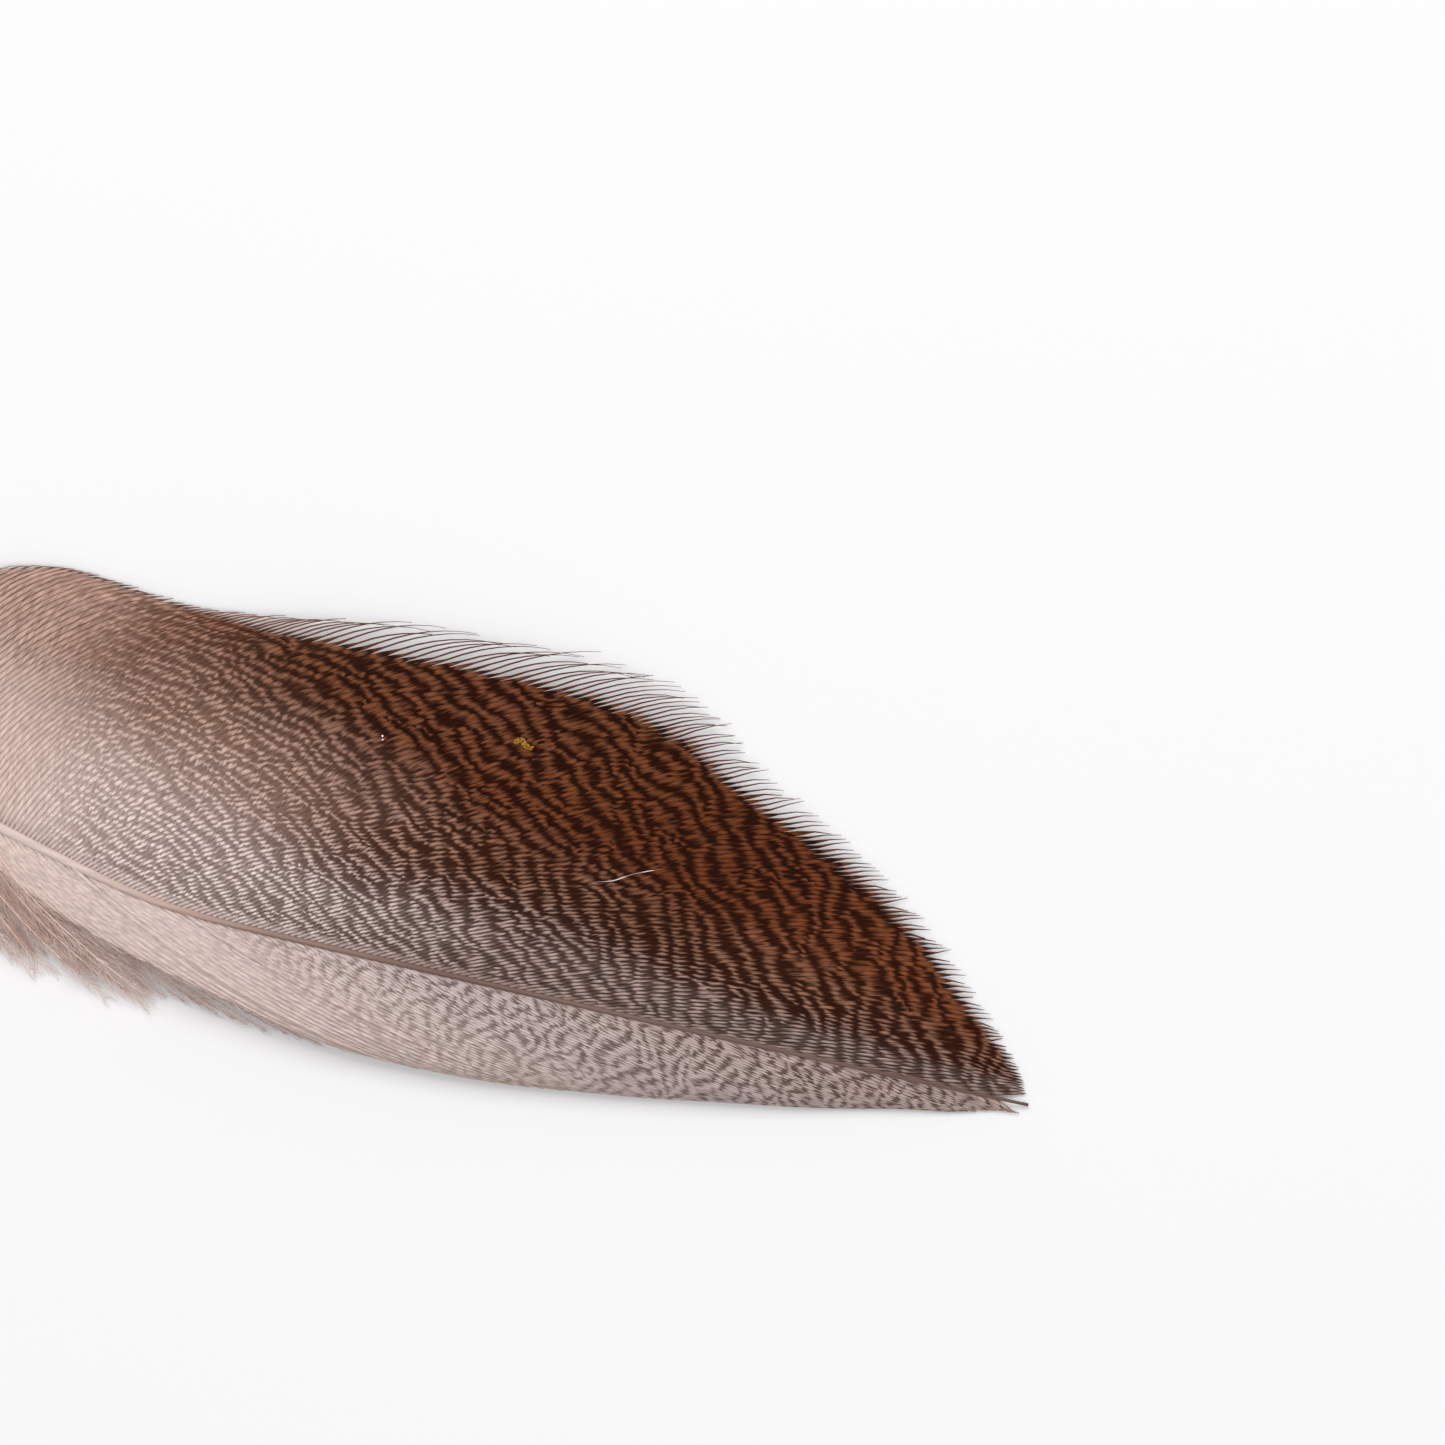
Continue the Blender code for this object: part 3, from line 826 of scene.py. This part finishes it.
def barbules(lines, distance, bare_until, length, sweep):
    """Lines of the soft barbules on both sides of each barb, whose tips draw together into small locks.

    The second result is how pale each one is, 0 to 1: those of a lock are much alike. This is partly the
    down's own tone and partly painted highlight on the hairs and painted shade between them.
    """
    made = []
    tones = []
    for line, out, bare in zip(lines, distance, bare_until):
        def on_barb(places):
            return np.stack([np.interp(places, out, line[:, axis]) for axis in range(3)], axis=-1)

        places = np.repeat(np.arange(bare, out[-1], BARBULE_STEP), 2)
        count = len(places)
        if not count:
            continue
        places = places + chance.uniform(-0.12, 0.12, count)
        along = unit(on_barb(places + 0.3) - on_barb(places - 0.3))
        left = unit(np.cross((0, 0, 1), along))
        sign = np.where(np.arange(count) % 2, -1, 1)
        angle = (sign * np.radians(chance.uniform(*sweep, count)))[:, None]
        way = along * np.cos(angle) + left * np.sin(angle)
        shorter = 0.55 + 0.45 * np.sqrt(np.clip((out[-1] - places) / 4, 0, 1))
        reach = (chance.uniform(*length, count) * shorter)[:, None]
        lift = chance.normal(0.05, 0.12, count)[:, None] * np.array((0, 0, 1))
        bend = chance.normal(0, 0.12, count)[:, None]
        share = np.linspace(0, 1, BARBULE_RINGS)[:, None, None]
        points = on_barb(places) + (way * share + (along - way) * share ** 2 * 0.4 + lift * share) * reach
        points = points + left * bend * np.sin(np.pi * share)
        lock = np.arange(count) // (2 * BARBULES_A_LOCK) * 2 + np.arange(count) % 2
        middle = np.stack([np.bincount(lock, points[-1][:, axis]) for axis in range(3)], axis=-1)
        middle = (middle / np.bincount(lock)[:, None])[lock]
        made.append((points + (middle - points[-1]) * LOCK_PULL * share ** 2).swapaxes(0, 1))
        # Each lock and hair gets its own paleness: partly own tone, partly painted highlight on hairs and
        # painted shade between them.
        tones.append(0.6 * chance.random(lock.max() + 1)[lock] + 0.4 * chance.random(count))
    return np.concatenate(made), np.concatenate(tones)


soft_barbs = [down_barbs(WIDE_DOWN, 34, (0.2, 1.6), 0.5), down_barbs(NARROW_DOWN, 64, (0.0, 0.8), 0.6)]
ramus_lines = np.concatenate([lines for lines, _ in soft_barbs])
ramus_distance = np.concatenate([distance for _, distance in soft_barbs])
share = ramus_distance / ramus_distance[:, -1:]
taper = DOWN_HALF_WIDTH * (1 - 0.7 * share)
ramus_mesh = strands(
    "down_barbs", ramus_lines, taper, taper, 4, uv_rows=4,
    facts={"growth": np.stack((share, chance.random((len(share), 1)) + 0 * share, 0 * share), axis=-1)},
)
barbule_lines, barbule_tones_and_highlights = barbules(
    ramus_lines, ramus_distance, np.full(len(ramus_lines), 0.8), (1.2, 2.3), (12, 42)
)
soft = narrow_web_end < narrow_distance[:, -1] - 2.0
more_lines, more_tones_and_highlights = barbules(
    narrow_lines[soft], narrow_distance[soft], narrow_web_end[soft], (0.9, 1.8), (6, 22)
)
barbule_lines = np.concatenate((barbule_lines, more_lines))
barbule_tones_and_highlights = np.concatenate((barbule_tones_and_highlights, more_tones_and_highlights))
share = np.broadcast_to(np.linspace(0, 1, BARBULE_RINGS), barbule_lines.shape[:2])
taper = BARBULE_HALF_WIDTH * (1 - 0.75 * share)
barbule_mesh = strands(
    "down_barbules", barbule_lines, taper, taper, 3, uv_rows=24,
    facts={"growth": np.stack((share, barbule_tones_and_highlights[:, None] + 0 * share, 0 * share), axis=-1)},
)


def down_finish():
    """Soft keratin: brownish grey where it lies dense beside the shaft, paler outward. Its paler and darker
    hairs and locks are partly its own tone and partly painted highlight and painted shade.
    """
    finish, surface, wire = new_finish("down", 0.7, 0.2, 0.1)
    place = wire.add("ShaderNodeTexCoord", {}, {}, "Object")
    x, y, z = place.parts()
    tufts = wire.noise(place, 420.0)
    base = (x * 1000).ramp((
        (-49, 244, 234, 230), (-38, 246, 228, 219), (-30, 248, 226, 216), (-22, 252, 232, 223),
        (-12, 254, 242, 237),
    ))
    share, tone, _ = wire.fact("growth").parts()
    # Paler toward the tips and from lock to lock: partly the down's own tone, partly painted highlight on
    # the hairs and painted shade between them.
    pale = (share * 0.5 + tone * 0.9 + tufts.ease(0.35, 0.65, -0.2, 0.2)).ease(0.1, 1.0)
    connect(surface, "Base Color", pale.mix(shade(222, 184, 168), base))
    return finish


soft_finish = down_finish()
add_piece("down_barbs", ramus_mesh, soft_finish)
add_piece("down_barbules", barbule_mesh, soft_finish)


# Specks
# Dirt lies on the wide vane, as found: a crumb of dried yellow pollen, a white fleck and a stray pale hair.
# Each only rests on the barbs.

CRUMB_LUMPS = (
    # x, y, radius
    (5.60, 9.24, 0.22),
    (5.74, 9.44, 0.17),
    (5.96, 9.40, 0.24),
    (6.10, 9.52, 0.12),
    (6.22, 9.22, 0.25),
    (6.34, 9.02, 0.16),
    (6.52, 9.08, 0.22),
    (6.76, 8.96, 0.16),
    (6.88, 9.12, 0.10),
)
FLECK_LUMPS = ((-4.13, 7.42, 0.08), (-4.08, 7.30, 0.09), (-4.06, 7.17, 0.07))
LUMP_FLATNESS = 0.5
HAIR_BENDS = ((13.9, 0.46), (15.0, 0.82), (16.1, 1.48), (17.2, 2.0), (18.5, 2.5))
HAIR_RINGS = 24
HAIR_HALF_WIDTH = 0.045


def on_vane(x, y):
    """Height of the wide vane's barbs at a place."""
    apart = np.linalg.norm(wide_lines[..., :2] - (x, y), axis=-1)
    return wide_lines[..., 2].flat[apart.argmin()]


def crumb(name, lumps, colour):
    """Small uneven lumps that stick together, flattened on to the vane."""
    bm = bmesh.new()
    for x, y, radius in lumps:
        lump = bmesh.ops.create_icosphere(bm, subdivisions=2, radius=radius)
        for vert in lump["verts"]:
            vert.co *= 1 + chance.uniform(-0.2, 0.2)
            vert.co.z *= LUMP_FLATNESS
            vert.co += Vector((x, y, on_vane(x, y) + 0.06))
            vert.co = (vert.co + Vector(REST_SHIFT)) * MM
    mesh = bpy.data.meshes.new(name)
    bm.to_mesh(mesh)
    bm.free()
    finish, surface, wire = new_finish(name, 0.6, 0.3, 0.0)
    grain = wire.noise(wire.add("ShaderNodeTexCoord", {}, {}, "Object"), 6000.0)
    connect(surface, "Base Color", grain.ease(0.35, 0.65).mix(shade(*colour[0]), shade(*colour[1])))
    add_piece(name, mesh, finish)


crumb("crumb", CRUMB_LUMPS, ((96, 52, 8), (180, 130, 26)))
crumb("fleck", FLECK_LUMPS, ((214, 206, 204), (250, 246, 246)))

hair_x = np.linspace(HAIR_BENDS[0][0], HAIR_BENDS[-1][0], HAIR_RINGS)
hair_y = smooth_through(HAIR_BENDS, 1, hair_x)
hair_z = np.array([on_vane(x, y) for x, y in zip(hair_x, hair_y)])
hair_z = np.convolve(np.pad(hair_z, 2, "edge"), np.ones(5) / 5, "valid") + 0.13
hair_taper = HAIR_HALF_WIDTH * np.sin(np.linspace(0.25, 2.9, HAIR_RINGS))[None]
hair_lines = np.stack((hair_x, hair_y, hair_z), axis=-1)[None]
hair_mesh = strands("stray_hair", hair_lines, hair_taper, hair_taper, 6)
finish, surface, wire = new_finish("stray hair", 0.4, 0.4, 0.0)
tone = wire.noise(wire.add("ShaderNodeTexCoord", {}, {}, "Object"), 900.0)
connect(surface, "Base Color", tone.ease(0.4, 0.6).mix(shade(150, 112, 98), shade(246, 232, 226)))
add_piece("stray_hair", hair_mesh, finish)


# Surface, light and camera
# The feather lies on a smooth white sheet under two large soft lights, seen from straight above.

FLOOR_SIZE = 4.0
PHOTO_TURN = math.radians(13.0)
VIEW_CENTRE = (0.02027, 0.01412, 0.0)
VIEW_WIDTH = 0.1084
LENS = 120.0
SENSOR = 36.0

bm = bmesh.new()
bmesh.ops.create_grid(bm, x_segments=1, y_segments=1, size=FLOOR_SIZE / 2)
floor_mesh = bpy.data.meshes.new("floor")
bm.to_mesh(floor_mesh)
bm.free()
floor = bpy.data.objects.new("floor", floor_mesh)
bpy.context.scene.collection.objects.link(floor)
finish, surface, wire = new_finish("white sheet", 0.8, 0.1, 0.0)
surface.inputs["Base Color"].default_value = (0.93, 0.925, 0.93, 1.0)
floor_mesh.materials.append(finish)


def soft_light(name, place, size, power):
    """A square lamp that faces the feather."""
    lamp = bpy.data.lights.new(name, "AREA")
    lamp.shape = "SQUARE"
    lamp.size = size
    lamp.energy = power
    light = bpy.data.objects.new(name, lamp)
    light.location = place
    light.rotation_euler = (-Vector(place)).to_track_quat("-Z", "Y").to_euler()
    bpy.context.scene.collection.objects.link(light)


soft_light("upper_lamp", (-0.15, 0.55, 0.8), 0.5, 4.4)
soft_light("lower_lamp", (0.3, -0.2, 0.9), 0.6, 2.0)

world = bpy.data.worlds.new("studio")
world.use_nodes = True
world.node_tree.nodes["Background"].inputs["Color"].default_value = (1.0, 0.99, 1.0, 1.0)
world.node_tree.nodes["Background"].inputs["Strength"].default_value = 0.52
bpy.context.scene.world = world
bpy.context.scene.view_settings.view_transform = "Standard"

view = bpy.data.cameras.new("camera")
view.lens = LENS
view.sensor_width = SENSOR
view.clip_start = 0.01
view.clip_end = 10.0
camera = bpy.data.objects.new("camera", view)
camera.location = (VIEW_CENTRE[0], VIEW_CENTRE[1], VIEW_WIDTH * LENS / SENSOR)
camera.rotation_euler = (0.0, 0.0, PHOTO_TURN)
bpy.context.scene.collection.objects.link(camera)
bpy.context.scene.camera = camera
